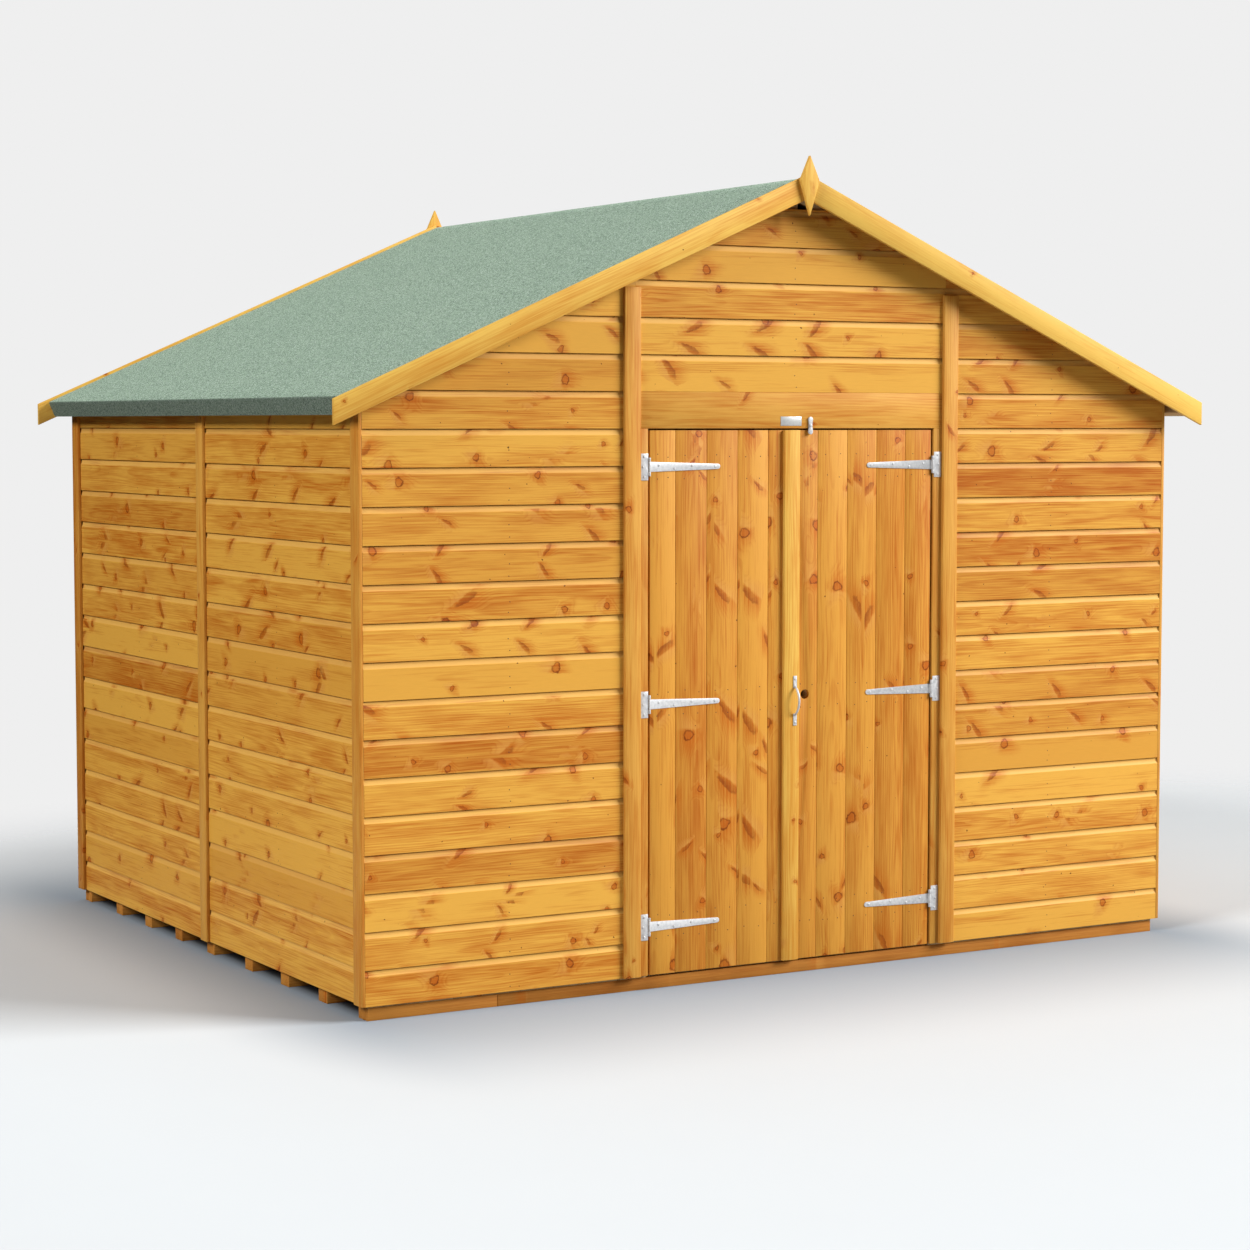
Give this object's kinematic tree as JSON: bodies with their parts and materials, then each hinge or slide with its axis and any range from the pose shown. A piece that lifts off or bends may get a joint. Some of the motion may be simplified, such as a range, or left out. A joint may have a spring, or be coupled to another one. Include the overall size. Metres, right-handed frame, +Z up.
{
  "type": "wooden garden shed",
  "caption": "Timber garden shed with shiplap walls, felted ridge roof with barge boards and finials, hinged double doors, turn button and a floor on bearers.",
  "frame": {"origin": "middle of the footprint, on the ground, at the underside of the middle bearer", "axes": "+Z up, the doors face -Y, the ridge runs along Y, +X is the long wall's direction, to the right as one faces the doors"},
  "size_m": [3.236, 2.65, 2.5852],
  "materials": {
    "shiplap": "satin",
    "trim_wood": "satin",
    "door_wood": "satin",
    "frame_wood": "matte",
    "roof_felt": "matte",
    "zinc": "satin"
  },
  "bodies": {
    "shed": {"floor_bearers": "frame_wood", "floor_deck": "frame_wood", "left_wall": "shiplap", "right_wall": "shiplap", "back_wall": "shiplap", "front_wall_left": "shiplap", "front_wall_right": "shiplap", "front_gable": "shiplap", "left_wall_studs": "frame_wood", "right_wall_studs": "frame_wood", "back_wall_studs": "frame_wood", "front_wall_studs": "frame_wood", "gable_studs": "frame_wood", "side_rails": "frame_wood", "end_rails": "frame_wood", "rafters": "frame_wood", "ridge_beam": "frame_wood", "purlins": "frame_wood", "door_posts": "trim_wood", "door_header": "trim_wood", "side_cover_strips": "trim_wood", "front_cover_strips": "trim_wood", "back_cover_strips": "trim_wood", "roof_deck_left": "frame_wood", "roof_deck_right": "frame_wood", "eaves_battens": "frame_wood", "roof_felt": "roof_felt", "left_barge_boards": "trim_wood", "right_barge_boards": "trim_wood", "finials": "trim_wood", "hinge_plates": "zinc", "bare_plate": "zinc", "turn_button_screw": "zinc"},
    "left_door": {"left_door_boards": "door_wood", "left_door_ledges": "frame_wood", "left_door_braces": "frame_wood", "meeting_strip": "trim_wood", "left_hinge_straps": "zinc", "door_pull": "zinc"},
    "right_door": {"right_door_boards": "door_wood", "right_door_ledges": "frame_wood", "right_door_braces": "frame_wood", "right_hinge_straps": "zinc"},
    "button": {"turn_button": "zinc"}
  },
  "joints": [
    {"name": "left_door_hinge", "type": "hinge", "parent": "shed", "child": "left_door", "pos_m": [-0.5345, -1.2465, 0.8895], "axis": [0, 0, -1], "range_deg": [0, 150]},
    {"name": "right_door_hinge", "type": "hinge", "parent": "shed", "child": "right_door", "pos_m": [0.5345, -1.2465, 0.8895], "axis": [0, 0, 1], "range_deg": [0, 150]},
    {"name": "turn_button_pivot", "type": "hinge", "parent": "shed", "child": "button", "pos_m": [0.0555, -1.248, 1.747], "axis": [0, -1, 0], "range_deg": [-90, 90]}
  ]
}
